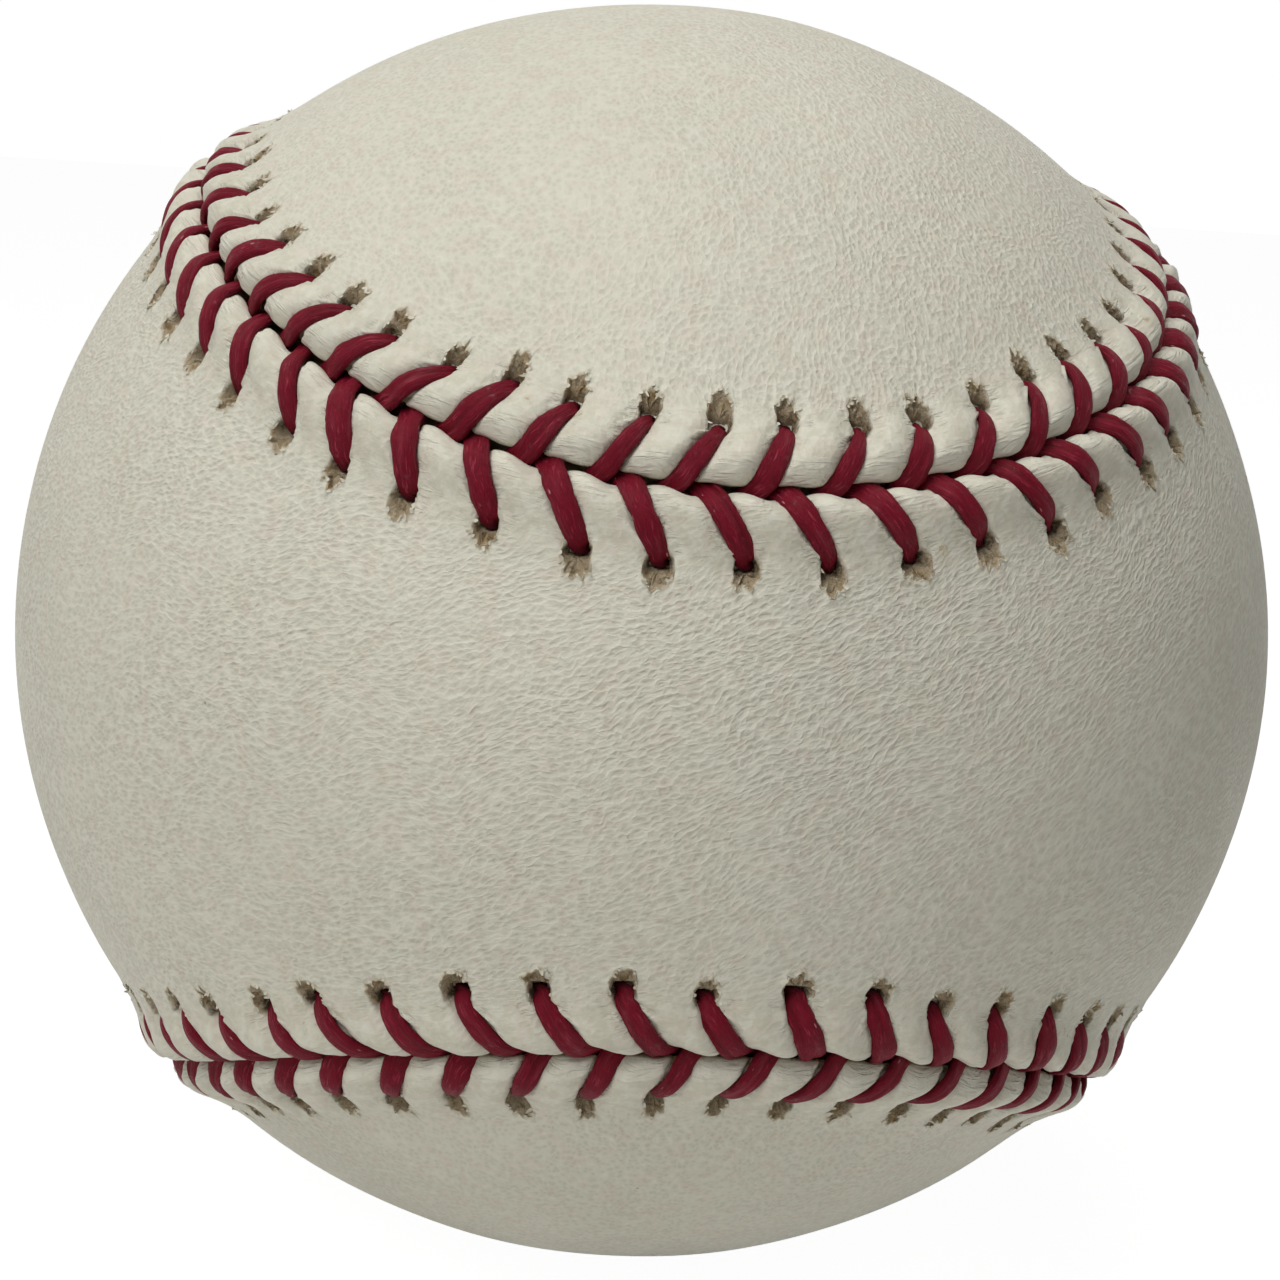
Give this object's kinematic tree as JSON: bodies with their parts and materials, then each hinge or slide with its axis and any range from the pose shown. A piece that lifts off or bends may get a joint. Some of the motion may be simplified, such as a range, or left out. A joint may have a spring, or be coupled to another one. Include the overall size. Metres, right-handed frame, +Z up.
{
  "type": "baseball",
  "caption": "Hand-stitched leather-covered ball with a raised figure-eight seam, over wound yarn and a rubber-cased cork core.",
  "frame": {"origin": "centre of the ball", "axes": "+Z up, with a lobe of panel B at +Z and at -Z; -Y through the narrow neck of panel A, +Y through the neck of panel B; +X and -X through the lobes of panel A"},
  "size_m": [0.0736, 0.0736, 0.0736],
  "materials": {
    "cork": "fine-grained composition cork",
    "black_rubber": "matt moulded rubber",
    "red_rubber": "matt moulded rubber",
    "grey_wool": "wound three-ply wool",
    "white_wool": "wound three-ply wool",
    "finishing_yarn": "wound fine yarn",
    "cement": "thin dried rubber film",
    "leather": "off-white pebbled full-grain leather",
    "thread": "waxed crimson thread"
  },
  "bodies": {
    "root": {"cork_core": "cork", "black_shell_upper": "black_rubber", "black_shell_lower": "black_rubber", "shell_gasket": "red_rubber", "red_rubber_layer": "red_rubber", "grey_wool_inner": "grey_wool", "white_wool_middle": "white_wool", "grey_wool_outer": "grey_wool", "finishing_yarn": "finishing_yarn", "cement_coat": "cement", "cover_panel_a": "leather", "cover_panel_b": "leather", "stitch_thread_a": "thread", "stitch_thread_b": "thread"}
  },
  "joints": []
}
